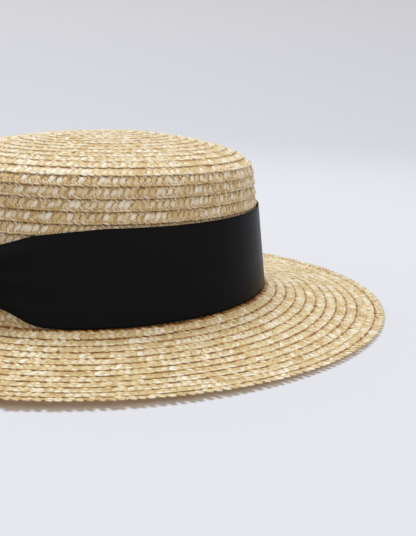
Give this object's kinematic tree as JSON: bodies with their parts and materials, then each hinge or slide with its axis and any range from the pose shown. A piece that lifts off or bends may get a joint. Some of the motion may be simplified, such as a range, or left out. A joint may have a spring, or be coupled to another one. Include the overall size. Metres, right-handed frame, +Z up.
{
  "type": "straw boater hat",
  "caption": "Straw boater hat: low oval crown and wide brim of sewn wheat straw braid, with a broad black satin ribbon gathered under a short wrap at the back.",
  "frame": {"origin": "on the surface that the brim rests on, under the middle of the hat", "axes": "+Z up through the crown, -Y the front, +Y the back where the ribbon is gathered, +X the wearer's left"},
  "size_m": [0.3052, 0.3332, 0.0916],
  "materials": {
    "straw": "natural wheat straw braid, lightly glossy, pale to golden straws with brown seams",
    "satin": "black satin ribbon with a soft sheen and a woven edge"
  },
  "bodies": {
    "root": {"crown": "straw", "brim": "straw", "ribbon": "satin", "ribbon_wrap": "satin"}
  },
  "joints": []
}
